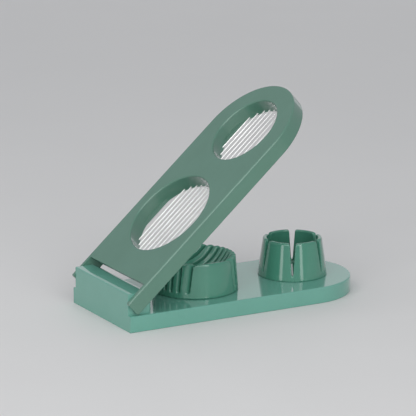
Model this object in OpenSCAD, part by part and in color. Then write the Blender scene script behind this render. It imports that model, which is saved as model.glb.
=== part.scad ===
// Egg slicer: a long tray with two egg cups, and a hinged lid that carries two sets of cutting wires.
// X runs from the hinge end to the round end, Y across and Z up. The origin is on the table, under the middle
// of the box that the slicer fills with its lid open at lid_open.

/* [Tray] */
// Length of the tray, from its hinge end to the tip of its round end
tray_len = 202.5; // [196:0.5:250]
// Width of the tray and of the lid, and the diameter of their round ends
tray_w = 90; // [86:0.5:110]
// Height of the deck above the table
deck_h = 12; // [10:0.5:16]
// Thickness of the tray's deck and skirt, and of the hinge block's walls
tray_wall = 2.4; // [1.6:0.1:3]
// Radius of the tray's and the lid's upper outer edge
edge_r = 1; // [0.4:0.1:1.4]
// Radius of the lower outer edge
foot_r = 0.6; // [0.2:0.1:0.8]
// Depth of the ribs under the deck
rib_h = 5; // [2:0.5:7]
// Thickness of the ribs under the deck and under the lid
rib_t = 1.6; // [1:0.1:2.4]

/* [Hinge] */
// Length of the hinge block along the tray
block_len = 19; // [16:0.5:24]
// Distance of the hinge axis from the tray's hinge end
axis_back = 8.1; // [7.5:0.1:10]
// Radius of the block's front top edge
block_front_r = 5.5; // [3:0.1:6]
// Radius of the block's front upright edges
block_corner_r = 3; // [1:0.1:5]
// Diameter of the steel hinge rod
rod_d = 4; // [3:0.1:5]
// Radial clearance of the rod in the lid's rails, where it turns
rod_play = 0.05; // [0.02:0.01:0.1]
// Plastic left outside each blind rod hole in the rails
rail_skin = 1.1; // [0.8:0.1:1.6]
// Gap between the block and each rail
rail_gap = 0.3; // [0.2:0.05:0.6]
// Gap between the block and the edge of the lid's plate, with the lid closed
plate_gap = 0.4; // [0.3:0.05:1.5]

/* [Lid] */
// Angle of the lid above the deck, as drawn
lid_open = 41.2; // [15:0.1:95]
// Depth of the lid, from its top to the lower edge of its skirt
lid_h = 12; // [10:0.5:16]
// Thickness of the lid's plate
plate_t = 2.4; // [1.6:0.1:3]
// Thickness of the lid's skirt and rails
rail_t = 3.2; // [2.6:0.1:4]
// Height of the closed lid's lower edge above the deck
lid_gap = 4; // [3.5:0.1:8]
// Length of the rails behind the hinge axis
rail_back = 7.7; // [6:0.1:8]
// Radius of the rails' rear corners
rail_r = 1.7; // [0.5:0.1:3]
// Depth of the ribs under the lid's plate
lid_rib_h = 3; // [1:0.5:5]

/* [Wires] */
// Diameter of the cutting wires
wire_d = 0.9; // [0.5:0.1:1.1]
// Distance between neighbouring wires
wire_pitch = 4.9; // [4.5:0.1:5.2]
// Number of wires in the large opening, an odd number
large_wires = 11; // [7:2:11]
// Number of wires in the small opening, an odd number
small_wires = 11; // [5:2:11]
// Radial width of the rings that hold the wires
ring_w = 2; // [1.6:0.1:2.4]
// Height of the rings
ring_h = 2.6; // [2:0.1:4]
// Thickness of the collar's lip around each ring
lip_t = 1.4; // [1:0.1:1.6]
// Distance from a cup's foot to the flats of the ring that comes down round it
flat_gap = 0.8; // [0.5:0.1:2]
// Distance from the ends of the wires to the outside of their ring
wire_inset = 0.6; // [0.4:0.1:1]

/* [Slicing cradle] */
// Distance of the cradle's centre from the tray's hinge end
cradle_back = 76.5; // [74:0.5:80]
// Outer radius of the cradle at the deck
cradle_foot_r = 32; // [24:0.5:33]
// How far the cradle's wall leans in towards its rim
cradle_lean = 2; // [0:0.1:4]
// Height of the cradle above the deck
cradle_h = 25.7; // [20:0.1:30]
// Thickness of the cradle's wall at its rim
cradle_rim = 3; // [1.5:0.1:3.5]
// Depth of the bowl in the cradle
bowl_depth = 17; // [12:0.5:20]
// Radius of the upper corners of the cradle's plain side walls
side_wall_r = 3; // [1:0.1:4]
// Side clearance of each wire in its slot
slot_play = 0.5; // [0.3:0.05:0.7]
// Distance from the cradle's foot to the large opening's wall
cradle_gap = 3; // [2:0.1:6]

/* [Wedge cup] */
// Distance of the cup's centre past the centre of the tray's round end
cup_ahead = 1.8; // [-4:0.1:4]
// Outer radius of the cup at the deck
cup_foot_r = 25.9; // [20:0.1:28]
// How far the cup's wall leans in towards its rim
cup_lean = 4.1; // [0:0.1:5]
// Height of the cup above the deck
cup_h = 28.2; // [22:0.1:32]
// Thickness of the cup's wall
cup_wall = 3; // [1.8:0.1:3.4]
// Thickness of the cup's floor
cup_floor_t = 2.5; // [1.5:0.1:3]
// Number of slots round the cup
cup_slots = 6; // [3:1:8]
// Width of the cup's slots at the rim
slot_top_w = 4.4; // [2:0.1:6]
// Width of the cup's slots at their foot
slot_foot_w = 1; // [0.6:0.1:2]
// Radius of the slots' upper corners
slot_r = 2; // [0.5:0.1:2.1]
// Distance from the cup's foot to the small opening's wall
cup_gap = 2.6; // [2:0.1:6]

/* [Cup seats] */
// Width and height of the chamfers on the rims of the cradle and of the cup
rim_chamfer = 0.8; // [0.2:0.1:0.8]
// Height above the deck at which the slots of the cradle and of the cup end
floor_h = 4; // [3.5:0.5:6]
// Width of the cups' shoulders, which stand on the deck around their spigots
shoulder_w = 4; // [2:0.1:5]
// Radial clearance of the cups' spigots in the deck
spigot_gap = 0.1; // [0.05:0.01:0.2]

/* [Hidden] */
$fn = 96;
past = 1; // how far a cutter runs past the face that it cuts
round_r = tray_w / 2;
axis_z = deck_h + lid_gap + lid_h / 2;
block_top = axis_z + lid_h / 2;
block_w = tray_w - 2 * (rail_t + rail_gap);
block_edge_r = 0.8;
rod_len = tray_w - 2 * (rail_skin + rail_gap);
boss_r = rod_d / 2 + 2.5;
boss_len = 8;

// The rails' rear corners reach back past the tray once the lid is open
rail_reach = (rail_back - rail_r) * cos(lid_open) + (lid_h / 2 - rail_r) * sin(lid_open) + rail_r;
rear_x = -(tray_len + min(0, axis_back - rail_reach)) / 2;
axis_x = rear_x + axis_back;
tip_x = rear_x + tray_len;
cradle_x = rear_x + cradle_back;
cup_x = tip_x - round_r + cup_ahead;

plate_start = block_len - axis_back + plate_gap;
large_r = cradle_foot_r + cradle_gap;
small_r = cup_foot_r + cup_gap;
slot_w = wire_d + 2 * slot_play;
fin_w = wire_pitch - slot_w;
wire_z = -lid_h / 2 + ring_h / 2;
bowl_rim_r = cradle_foot_r - cradle_lean - cradle_rim;
bowl_r = (pow(bowl_rim_r, 2) + pow(bowl_depth, 2)) / (2 * bowl_depth);

body_green = [0.46, 0.64, 0.58];
lid_green = [0.40, 0.58, 0.51];
cup_green = [0.33, 0.53, 0.45];
steel = [0.80, 0.81, 0.83];

// ---- shared shapes ----

// What rounding by r takes off a corner that points to +X and +Y at the origin
module corner_cut(r) {
    translate([-r, -r])
        difference() {
            square(r + past);
            circle(r);
        }
}

// One half of the outline of a section through the tray or the lid, with the outer side at the right
module half_outline(h) {
    difference() {
        square([round_r, h]);
        translate([round_r, h]) corner_cut(edge_r);
        translate([round_r, 0]) mirror([0, 1]) corner_cut(foot_r);
    }
}

// A section drawn across Y and up Z, run along X for the given length
module along_x(length) {
    rotate([90, 0, 90]) linear_extrude(length) children();
}

// A side view drawn along X and up Z, run across Y for the given width, centred
module across_y(width) {
    translate([0, width / 2, 0]) rotate([90, 0, 0]) linear_extrude(width) children();
}

// A bar of the section whose right half is the child, from start to a half-round end about x = centre
module round_ended(start, centre) {
    translate([start, 0, 0])
        along_x(centre - start) {
            children();
            mirror([1, 0]) children();
        }
    translate([centre, 0, 0]) rotate_extrude() children();
}

// Places children that are drawn from the hinge axis, with the lid closed, where the open lid has them
module on_lid() {
    translate([axis_x, 0, axis_z]) rotate([0, -lid_open, 0]) children();
}

// The sideways position of wire i out of count
function wire_y(i, count) = (i - (count + 1) / 2) * wire_pitch;

// ---- tray ----

// Side view of the hinge block, smaller by inset all round, from the given height up
module block_side(inset, bottom) {
    difference() {
        translate([inset, bottom]) square([block_len - 2 * inset, block_top - inset - bottom]);
        translate([block_len - inset, block_top - inset]) corner_cut(block_front_r - inset);
        translate([inset, block_top - inset]) mirror([1, 0]) corner_cut(block_edge_r);
    }
}

// Plan of the hinge block, with its front corners rounded
module block_plan() {
    difference() {
        translate([0, -block_w / 2]) square([block_len, block_w]);
        translate([block_len, block_w / 2]) corner_cut(block_corner_r);
        translate([block_len, -block_w / 2]) mirror([0, 1]) corner_cut(block_corner_r);
    }
}

module hinge_block() {
    intersection() {
        across_y(block_w) block_side(0, deck_h - tray_wall);
        linear_extrude(block_top) block_plan();
    }
}

// Space inside the block, open to the underside of the tray
module block_hollow() {
    across_y(block_w - 2 * tray_wall) block_side(tray_wall, -past);
}

// Plates and end bosses inside the block, which hold the rod
module rod_supports() {
    intersection() {
        union() {
            for (side = [-1, 1]) {
                translate([axis_back, side * (block_w - boss_len) / 2, axis_z])
                    rotate([90, 0, 0]) cylinder(r = boss_r, h = boss_len, center = true);
                translate([0, side * block_w / 6, 0]) across_y(rib_t) block_side(tray_wall / 2, foot_r);
            }
        }
        across_y(block_w - tray_wall) block_side(tray_wall / 2, 0);
    }
}

// Ribs across the underside of the deck, on both sides of the cups
module deck_ribs() {
    spots = [
        (block_len + cradle_back - cradle_foot_r) / 2,
        (cradle_back + cradle_foot_r + cup_x - rear_x - cup_foot_r) / 2
    ];
    for (spot = spots)
        translate([spot - rib_t / 2, -round_r + tray_wall / 2, deck_h - tray_wall - rib_h])
            cube([rib_t, tray_w - tray_wall, rib_h + tray_wall / 2]);
}

// Hole through the deck for a cup's spigot
module spigot_hole(foot_radius) {
    cylinder(r = foot_radius - shoulder_w + spigot_gap, h = deck_h + past);
}

module base_shell() {
    color(body_green)
        difference() {
            union() {
                difference() {
                    union() {
                        round_ended(rear_x, tip_x - round_r) half_outline(deck_h);
                        translate([rear_x, 0, 0]) hinge_block();
                    }
                    round_ended(rear_x + tray_wall, tip_x - round_r)
                        square([round_r - tray_wall, deck_h - tray_wall]);
                    translate([rear_x, 0, 0]) block_hollow();
                }
                translate([rear_x, 0, 0]) {
                    rod_supports();
                    deck_ribs();
                }
            }
            translate([cradle_x, 0, 0]) spigot_hole(cradle_foot_r);
            translate([cup_x, 0, 0]) spigot_hole(cup_foot_r);
            translate([axis_x, 0, axis_z]) rotate([90, 0, 0]) cylinder(d = rod_d, h = tray_w, center = true);
        }
}

module hinge_rod() {
    color(steel)
        translate([axis_x, 0, axis_z]) rotate([90, 0, 0]) cylinder(d = rod_d, h = rod_len, center = true);
}

// ---- cups ----

// Spigot that locates a cup in the deck
module spigot(foot_radius) {
    translate([0, 0, -tray_wall]) cylinder(r = foot_radius - shoulder_w, h = tray_wall + floor_h / 2);
}

// End view of the cradle: a floor, a fin between each two slots, and a plain wall at each side
module cradle_comb() {
    outer_slot = (large_wires - 1) / 2 * wire_pitch + slot_w / 2;
    translate([-cradle_foot_r, 0]) square([2 * cradle_foot_r, floor_h]);
    for (i = [1 : large_wires - 1])
        translate([wire_y(i, large_wires) + wire_pitch / 2, 0]) {
            translate([-fin_w / 2, 0]) square([fin_w, cradle_h - fin_w / 2]);
            translate([0, cradle_h - fin_w / 2]) circle(d = fin_w);
        }
    for (side = [0, 1])
        mirror([side, 0])
            difference() {
                translate([outer_slot, 0]) square([cradle_foot_r - outer_slot, cradle_h]);
                translate([outer_slot, cradle_h]) mirror([1, 0]) corner_cut(side_wall_r);
            }
}

// Upright section through one side of the cradle, with its bowl and its rim's outer edge chamfered
module cradle_section() {
    chamfer_z = cradle_h - rim_chamfer;
    difference() {
        polygon([
            [0, 0], [cradle_foot_r, 0],
            [cradle_foot_r - cradle_lean * chamfer_z / cradle_h, chamfer_z],
            [cradle_foot_r - cradle_lean - rim_chamfer, cradle_h], [0, cradle_h]
        ]);
        translate([0, cradle_h - bowl_depth + bowl_r]) circle(bowl_r);
    }
}

module slicing_cradle() {
    color(cup_green)
        translate([cradle_x, 0, deck_h]) {
            intersection() {
                rotate_extrude() cradle_section();
                translate([-cradle_foot_r, 0, 0]) along_x(2 * cradle_foot_r) cradle_comb();
            }
            spigot(cradle_foot_r);
        }
}

// Upright section through one side of the wedge cup, with its rim chamfered
module cup_section() {
    chamfer_z = cup_h - rim_chamfer;
    chamfer_x = cup_foot_r - cup_lean * chamfer_z / cup_h;
    rim_x = cup_foot_r - cup_lean;
    floor_x = cup_foot_r - cup_wall - cup_lean * cup_floor_t / cup_h;
    polygon([
        [0, 0], [cup_foot_r, 0],
        [chamfer_x, chamfer_z], [rim_x - rim_chamfer, cup_h],
        [rim_x - cup_wall + rim_chamfer, cup_h], [chamfer_x - cup_wall, chamfer_z],
        [floor_x, cup_floor_t], [0, cup_floor_t]
    ]);
}

// Outline of one slot, seen from outside the cup, with its upper corners rounded
module slot_outline() {
    flare = (slot_top_w - slot_foot_w) / 2;
    flare_angle = atan(flare / (cup_h - floor_h));
    corner_z = cup_h - slot_r;
    corner_x = slot_top_w / 2 - flare * slot_r / (cup_h - floor_h) + slot_r / cos(flare_angle);
    corner_foot_z = corner_z + slot_r * sin(flare_angle);
    polygon([
        [-slot_foot_w / 2, floor_h], [slot_foot_w / 2, floor_h],
        [slot_top_w / 2, cup_h], [slot_top_w / 2, cup_h + past],
        [-slot_top_w / 2, cup_h + past], [-slot_top_w / 2, cup_h]
    ]);
    for (side = [0, 1])
        mirror([side, 0])
            difference() {
                translate([0, corner_foot_z]) square([corner_x, cup_h + past - corner_foot_z]);
                translate([corner_x, corner_z]) circle(slot_r);
            }
}

module wedge_cup() {
    color(cup_green)
        translate([cup_x, 0, deck_h]) {
            difference() {
                rotate_extrude() cup_section();
                for (k = [0 : cup_slots - 1])
                    rotate(k * 360 / cup_slots)
                        translate([cup_foot_r / 2, 0, 0]) along_x(cup_foot_r) slot_outline();
            }
            spigot(cup_foot_r);
        }
}

// ---- lid, drawn closed, from the hinge axis ----

// Collar round an opening of radius r, before it is bored
module collar(x, r) {
    translate([x, 0, -lid_h / 2]) cylinder(r = r + ring_w + lip_t, h = lid_h - plate_t / 2);
}

// The opening, its rounded rim and the seat for its wire ring
module opening_cut(x, r) {
    translate([x, 0, 0]) {
        cylinder(r = r, h = lid_h + past, center = true);
        rotate_extrude()
            difference() {
                translate([r - edge_r / 2, lid_h / 2 - edge_r]) square([1.5 * edge_r, edge_r + past]);
                translate([r + edge_r, lid_h / 2 - edge_r]) circle(edge_r);
            }
        translate([0, 0, -lid_h / 2 - past]) cylinder(r = r + ring_w, h = ring_h + past);
    }
}

// Side view of the whole lid, with the rails' rear corners rounded
module lid_side() {
    difference() {
        translate([-rail_back, -lid_h / 2]) square([rail_back + tip_x - axis_x, lid_h]);
        for (side = [0, 1])
            mirror([0, side])
                translate([-rail_back, lid_h / 2]) mirror([1, 0]) corner_cut(rail_r);
    }
}

module lid_ribs() {
    inner_w = tray_w - rail_t;
    large_x = cradle_x - axis_x;
    small_x = cup_x - axis_x;
    spots = [plate_start + rib_t, (large_x + large_r + small_x - small_r) / 2];
    for (spot = spots)
        translate([spot - rib_t / 2, -inner_w / 2, lid_h / 2 - plate_t - lid_rib_h])
            cube([rib_t, inner_w, lid_rib_h + plate_t / 2]);
}

module lid_shell() {
    fork_w = tray_w - 2 * rail_t;
    round_x = tip_x - round_r - axis_x;
    large_x = cradle_x - axis_x;
    small_x = cup_x - axis_x;
    color(lid_green)
        on_lid()
            difference() {
                union() {
                    intersection() {
                        translate([0, 0, -lid_h / 2])
                            difference() {
                                round_ended(-rail_back, round_x) half_outline(lid_h);
                                round_ended(-rail_back - past, round_x)
                                    square([round_r - rail_t, lid_h - plate_t]);
                            }
                        across_y(tray_w) lid_side();
                    }
                    lid_ribs();
                    collar(large_x, large_r);
                    collar(small_x, small_r);
                }
                opening_cut(large_x, large_r);
                opening_cut(small_x, small_r);
                translate([-rail_back - past, -fork_w / 2, -lid_h / 2 - past])
                    cube([rail_back + past + plate_start, fork_w, lid_h + 2 * past]);
                rotate([90, 0, 0])
                    cylinder(r = rod_d / 2 + rod_play, h = tray_w - 2 * rail_skin, center = true);
            }
}

// One wire of a set of count, drawn along X through the set's centre line
module wire(i, count, r, shorter) {
    y = wire_y(i, count);
    half_len = sqrt(pow(r + ring_w - shorter, 2) - y * y);
    translate([-half_len, y, wire_z]) rotate([0, 90, 0]) cylinder(d = wire_d, h = 2 * half_len);
}

// Ring with two flats and a hole for each wire end, pressed into its collar from below
module wire_ring(count, r, flat_y) {
    difference() {
        translate([0, 0, -lid_h / 2]) cylinder(r = r + ring_w, h = ring_h);
        intersection() {
            cylinder(r = r, h = lid_h + 2 * past, center = true);
            cube([2 * r + 2 * past, 2 * flat_y, lid_h + 2 * past], center = true);
        }
        for (i = [1 : count]) wire(i, count, r, wire_inset);
    }
}

module large_wire_ring() {
    color(lid_green) on_lid() translate([cradle_x - axis_x, 0, 0])
        wire_ring(large_wires, large_r, cradle_foot_r + flat_gap);
}

module small_wire_ring() {
    color(lid_green) on_lid() translate([cup_x - axis_x, 0, 0])
        wire_ring(small_wires, small_r, cup_foot_r + flat_gap);
}

module large_wire(i) {
    color(steel)
        on_lid() translate([cradle_x - axis_x, 0, 0]) wire(i, large_wires, large_r, wire_inset);
}

module small_wire(i) {
    color(steel)
        on_lid() translate([cup_x - axis_x, 0, 0]) wire(i, small_wires, small_r, wire_inset);
}

base_shell();
slicing_cradle();
wedge_cup();
hinge_rod();
lid_shell();
large_wire_ring();
small_wire_ring();
for (i = [1 : large_wires]) large_wire(i);
for (i = [1 : small_wires]) small_wire(i);
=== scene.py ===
import math

import bpy
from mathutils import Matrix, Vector


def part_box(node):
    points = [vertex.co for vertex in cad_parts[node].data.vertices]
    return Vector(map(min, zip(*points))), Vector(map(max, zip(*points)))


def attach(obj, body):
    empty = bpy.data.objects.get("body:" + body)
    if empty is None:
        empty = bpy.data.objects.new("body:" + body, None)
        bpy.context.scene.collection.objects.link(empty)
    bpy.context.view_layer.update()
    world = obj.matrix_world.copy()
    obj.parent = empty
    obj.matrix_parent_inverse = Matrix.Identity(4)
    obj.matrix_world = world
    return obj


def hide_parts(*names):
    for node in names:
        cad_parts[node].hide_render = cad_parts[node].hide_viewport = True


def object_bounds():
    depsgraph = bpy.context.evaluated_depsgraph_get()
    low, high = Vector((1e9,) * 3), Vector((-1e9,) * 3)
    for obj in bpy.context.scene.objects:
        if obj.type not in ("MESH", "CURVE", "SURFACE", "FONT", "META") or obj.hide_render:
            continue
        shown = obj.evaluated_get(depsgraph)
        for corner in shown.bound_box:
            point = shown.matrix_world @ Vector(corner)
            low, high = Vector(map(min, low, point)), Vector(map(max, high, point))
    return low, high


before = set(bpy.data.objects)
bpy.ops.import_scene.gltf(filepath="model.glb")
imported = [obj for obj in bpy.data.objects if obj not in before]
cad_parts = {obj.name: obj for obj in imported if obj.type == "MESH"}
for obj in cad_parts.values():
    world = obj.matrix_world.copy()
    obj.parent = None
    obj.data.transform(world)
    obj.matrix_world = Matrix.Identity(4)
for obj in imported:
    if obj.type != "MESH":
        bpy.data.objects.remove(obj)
cad_low, cad_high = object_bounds()
millimetre = 0.001

# ---- view ----
# A long lens looks down a little on the hinge end and one side, so that the lid's top, both openings and both
# cups show. The slicer fills the frame from its hinge to its round end.
view_azimuth = math.radians(-29.03)
view_elevation = math.radians(14.4)
view_distance = 2.1675
lens_mm = 257.4
slicer_middle = (cad_low + cad_high) / 2
aim_shift = Vector((-13.1, 0, -6.3)) * millimetre
aim = slicer_middle + aim_shift
towards_camera = Vector((
    math.sin(view_azimuth) * math.cos(view_elevation),
    -math.cos(view_azimuth) * math.cos(view_elevation),
    math.sin(view_elevation),
))
bpy.ops.object.camera_add(location=aim + towards_camera * view_distance)
camera = bpy.context.object
camera.name = "camera"
camera.data.lens = lens_mm
camera.rotation_euler = (-towards_camera).to_track_quat("-Z", "Y").to_euler()
camera.data.clip_start = 0.01
camera.data.clip_end = 50
bpy.context.scene.camera = camera


# ---- shader maths, used first by the moulded plastic ----
# A socket is wrapped so that plain expressions add Math nodes, and one method adds any other node.
class Link:
    def __init__(self, tree, socket):
        self.tree = tree
        self.socket = socket

    def maths(self, operation, first, second):
        math_node = self.tree.nodes.new("ShaderNodeMath")
        math_node.operation = operation
        for place, value in enumerate((first, second)):
            if isinstance(value, Link):
                self.tree.links.new(value.socket, math_node.inputs[place])
            else:
                math_node.inputs[place].default_value = value
        return Link(self.tree, math_node.outputs[0])

    def __add__(self, other):
        return self.maths("ADD", self, other)

    def __radd__(self, other):
        return self.maths("ADD", other, self)

    def __mul__(self, other):
        return self.maths("MULTIPLY", self, other)

    def __rmul__(self, other):
        return self.maths("MULTIPLY", other, self)


class Finish:
    """One material with a Principled shader, and the nodes that feed it."""

    def __init__(self, name):
        self.material = bpy.data.materials.new(name)
        self.material.use_nodes = True
        self.tree = self.material.node_tree
        self.shader = self.tree.nodes["Principled BSDF"]

    def node(self, kind, settings, output, **values):
        made = self.tree.nodes.new(kind)
        for key, value in settings.items():
            setattr(made, key, value)
        for key, value in values.items():
            socket = made.inputs[key.replace("_", " ")]
            if isinstance(value, Link):
                self.tree.links.new(value.socket, socket)
            else:
                socket.default_value = value
        return Link(self.tree, made.outputs[output])

    def place(self, stretch=(1, 1, 1), turn=(0, 0, 0)):
        coordinates = self.node("ShaderNodeTexCoord", {}, "Object")
        return self.node("ShaderNodeMapping", {}, "Vector", Vector=coordinates, Scale=stretch, Rotation=turn)

    def noise(self, where, scale, detail=2.0, roughness=0.5):
        return self.node(
            "ShaderNodeTexNoise", {}, "Fac", Vector=where, Scale=scale, Detail=detail, Roughness=roughness,
        )

    def spread(self, value, low, high, to_low=0.0, to_high=1.0):
        return self.node(
            "ShaderNodeMapRange", {"interpolation_type": "SMOOTHSTEP"}, "Result", Value=value,
            From_Min=low, From_Max=high, To_Min=to_low, To_Max=to_high,
        )

    def blend(self, amount, first, second):
        mix = self.tree.nodes.new("ShaderNodeMix")
        mix.data_type = "RGBA"
        amount_socket, first_colour, second_colour, mixed_colour = 0, 6, 7, 2
        for place, value in ((amount_socket, amount), (first_colour, first), (second_colour, second)):
            socket = mix.inputs[place]
            if isinstance(value, Link):
                self.tree.links.new(value.socket, socket)
            else:
                socket.default_value = value
        return Link(self.tree, mix.outputs[mixed_colour])

    def feed(self, name, value):
        if isinstance(value, Link):
            self.tree.links.new(value.socket, self.shader.inputs[name])
        else:
            self.shader.inputs[name].default_value = value

    def bump(self, height, distance, strength, under=None):
        values = {"Height": height, "Distance": distance, "Strength": strength}
        if under is not None:
            values["Normal"] = under
        return self.node("ShaderNodeBump", {}, "Normal", **values)


# ---- tray ----
# One injection moulding in glossy sage green ABS: the deck, its skirt and the hinge block. It comes out of a
# polished mould, with faint flow lines along its length, a very slight waviness, and dull smudges from hands.
def moulded_plastic(name, shade, deeper, gloss, flow_turn=(0, 0, 0)):
    finish = Finish(name)
    body = finish.place()

    # Pigment is spread a little unevenly, in clouds, along the melt's flow and in single grains
    cloud_share, flow_share, pigment_share = 0.45, 0.35, 0.2
    flow_stretch = (9.0, 60.0, 60.0)
    cloud = finish.noise(body, 22.0, 3.0)
    flow = finish.noise(finish.place(flow_stretch, flow_turn), 1.0, 4.0, 0.6)
    pigment = finish.noise(body, 1600.0, 1.0)
    clouds_seen = finish.spread(cloud, 0.3, 0.7)
    flow_seen = finish.spread(flow, 0.3, 0.7)
    tone = clouds_seen * cloud_share + flow_seen * flow_share + pigment * pigment_share

    # Specks of dust lie in patches and pale the colour
    dust_paling = 0.35
    specks = finish.spread(finish.noise(body, 900.0, 2.0, 0.7), 0.66, 0.74)
    dust = specks * finish.spread(cloud, 0.45, 0.65)
    plastic = finish.blend(tone, (*deeper, 1), (*shade, 1))
    pale = tuple(0.75 * part + 0.12 for part in shade)
    finish.feed("Base Color", finish.blend(dust * dust_paling, plastic, (*pale, 1)))

    # Smudges, dust and pigment dull the gloss
    smudge_dulling, dust_dulling, pigment_dulling = 0.05, 0.15, 0.01
    smudge = finish.spread(finish.noise(body, 40.0, 5.0, 0.62), 0.45, 0.75)
    dulled = gloss + smudge * smudge_dulling + dust * dust_dulling + pigment * pigment_dulling
    finish.feed("Roughness", dulled)

    # The wall is very slightly wavy, under a finer skin
    wave_depth, wave_strength = 0.4 * millimetre, 0.03
    skin_depth, skin_strength = 0.03 * millimetre, 0.06
    waviness = finish.bump(finish.noise(body, 45.0, 1.0), wave_depth, wave_strength)
    finish.feed("Normal", finish.bump(finish.noise(body, 700.0, 2.0), skin_depth, skin_strength, waviness))
    finish.shader.inputs["IOR"].default_value = 1.53
    finish.shader.inputs["Coat Weight"].default_value = 0.5
    finish.shader.inputs["Coat Roughness"].default_value = 0.03
    return finish.material


def dress(node_name, material):
    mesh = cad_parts[node_name].data
    mesh.materials.clear()
    mesh.materials.append(material)


tray_plastic = moulded_plastic("tray_plastic", (0.140, 0.372, 0.298), (0.126, 0.346, 0.275), 0.045)
dress("base_shell", tray_plastic)

# ---- cups ----
# The slicing cradle and the wedge cup are moulded apart in a deeper green and set in the deck. Their rims,
# fins and slots have soft rounded edges all over, and their polished walls mirror a bright window as upright
# strips.
def soften(node_name, piece_name, voxel, passes):
    merge_distance = 0.01 * millimetre
    bpy.ops.object.select_all(action="DESELECT")
    piece = bpy.data.objects.new(piece_name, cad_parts[node_name].data.copy())
    bpy.context.scene.collection.objects.link(piece)
    piece.select_set(True)
    bpy.context.view_layer.objects.active = piece
    bpy.ops.object.mode_set(mode="EDIT")
    bpy.ops.mesh.select_all(action="SELECT")
    bpy.ops.mesh.remove_doubles(threshold=merge_distance)
    bpy.ops.object.mode_set(mode="OBJECT")
    remesh = piece.modifiers.new("skin", "REMESH")
    remesh.mode = "VOXEL"
    remesh.voxel_size = voxel
    bpy.ops.object.modifier_apply(modifier=remesh.name)
    rounding = piece.modifiers.new("rounding", "SMOOTH")
    rounding.factor = 0.5
    rounding.iterations = passes
    bpy.ops.object.modifier_apply(modifier=rounding.name)
    bpy.ops.object.shade_smooth()
    piece.data.materials.clear()
    return piece


cup_plastic = moulded_plastic("cup_plastic", (0.068, 0.250, 0.176), (0.058, 0.226, 0.156), 0.06)
rounding_passes = 7
for node_name, piece_name, voxel in (
    ("slicing_cradle", "cradle_moulding", 0.56 * millimetre),
    ("wedge_cup", "wedge_cup_moulding", 0.42 * millimetre),
):
    cup = soften(node_name, piece_name, voxel, rounding_passes)
    cup.data.materials.append(cup_plastic)
    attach(cup, "base")
    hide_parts(node_name)

# ---- hinge rod ----
# A steel rod through the hinge block, turned bright. The lathe leaves fine rings round it, and the air a
# faint tarnish. It is pressed into the block, and the lid's rails turn on its ends.
def steel(name, colour, grain, turn, low, high, depth):
    tarnish_darkening, line_strength = 0.88, 0.2
    finish = Finish(name)
    lines = finish.noise(finish.place(grain, turn), 1.0, 2.0, 0.6)
    tarnish = finish.noise(finish.place(), 60.0, 3.0)
    deeper = tuple(part * tarnish_darkening for part in colour)
    finish.feed("Base Color", finish.blend(finish.spread(tarnish, 0.3, 0.7), (*deeper, 1), (*colour, 1)))
    finish.feed("Metallic", 1.0)
    finish.feed("Roughness", finish.spread(lines, 0.3, 0.7, low, high))
    finish.feed("Normal", finish.bump(lines, depth, line_strength))
    return finish.material


rod_steel = steel(
    "rod_steel", (0.60, 0.60, 0.61), grain=(300.0, 4000.0, 300.0), turn=(0, 0, 0),
    low=0.22, high=0.40, depth=0.02 * millimetre,
)
dress("hinge_rod", rod_steel)

# ---- lid ----
# A second moulding, a little deeper in colour than the tray. It straddles the hinge block with two rails, and
# the two rings that carry the wires are pressed into its collars from below, in the same plastic.
middle_wire_low, middle_wire_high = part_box("large_wire_6")
wire_run = middle_wire_high - middle_wire_low
lid_angle = math.atan2(wire_run.z, wire_run.x)
along_the_lid = (0, lid_angle, 0)
lid_plastic = moulded_plastic(
    "lid_plastic", (0.100, 0.226, 0.168), (0.088, 0.204, 0.148), 0.12, along_the_lid,
)
for part in ("lid_shell", "large_wire_ring", "small_wire_ring"):
    dress(part, lid_plastic)

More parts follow.
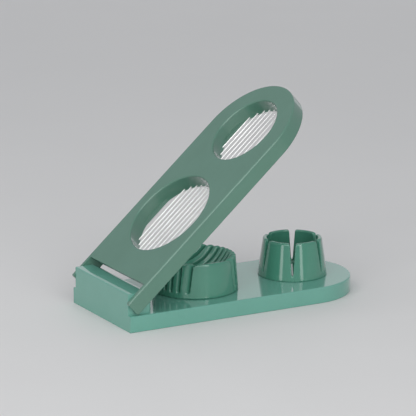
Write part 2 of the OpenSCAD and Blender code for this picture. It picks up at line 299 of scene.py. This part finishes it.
# ---- wires ----
# Drawn stainless wires, moulded into their rings and running along the lid. The die that they are drawn
# through leaves fine lines along them.
wire_steel = steel(
    "wire_steel", (0.95, 0.95, 0.93), grain=(25.0, 1500.0, 1500.0), turn=along_the_lid,
    low=0.20, high=0.30, depth=0.003 * millimetre,
)
for node_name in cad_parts:
    if node_name.startswith(("large_wire_", "small_wire_")) and not node_name.endswith("ring"):
        dress(node_name, wire_steel)

# ---- studio ----
# A plain pale floor, two tall narrow softboxes in front and at the hinge end that mirror in the cups, a broad
# soft light in front, a small one above for the wires, and a low one behind that shows in the glossy deck.
bpy.ops.object.select_all(action="DESELECT")
floor_size = 12
bpy.ops.mesh.primitive_plane_add(size=floor_size, location=(0, 0, 0))
floor = bpy.context.object
floor.name = "floor"
floor_finish = Finish("floor_paper")
paper = floor_finish.noise(floor_finish.place(), 6.0, 4.0)
floor_finish.feed("Base Color", floor_finish.blend(paper, (0.71, 0.705, 0.695, 1), (0.75, 0.745, 0.735, 1)))
floor_finish.feed("Roughness", 0.5 + paper * 0.2)
floor.data.materials.append(floor_finish.material)


def soft_light(name, direction, distance, width, height, watts):
    towards = Vector(direction).normalized()
    bpy.ops.object.light_add(type="AREA", location=slicer_middle + towards * distance)
    lamp = bpy.context.object
    lamp.name = name
    lamp.data.shape = "RECTANGLE"
    lamp.data.size = width
    lamp.data.size_y = height
    lamp.data.energy = watts
    lamp.rotation_euler = (-towards).to_track_quat("-Z", "Y").to_euler()


for light in (
    # name, direction, distance, width, height, watts
    ("window", (0.055, -1.0, 0.26), 2.2, 0.36, 2.0, 5.6),
    ("side_window", (-0.93, -0.38, 0.26), 2.2, 0.36, 2.0, 5.6),
    ("front_fill", (-0.45, -0.85, 0.58), 1.9, 2.4, 1.8, 22),
    ("top_fill", (-0.5, 0.1, 0.86), 1.2, 0.5, 0.5, 1.3),
    ("back_fill", (0.47, 0.85, 0.26), 1.6, 1.8, 0.8, 1.3),
):
    soft_light(*light)
world = bpy.data.worlds.new("studio")
bpy.context.scene.world = world
world.use_nodes = True
background = world.node_tree.nodes["Background"]
background.inputs["Color"].default_value = (0.93, 0.95, 1.0, 1)
background.inputs["Strength"].default_value = 0.45
bpy.context.scene.view_settings.view_transform = "Standard"
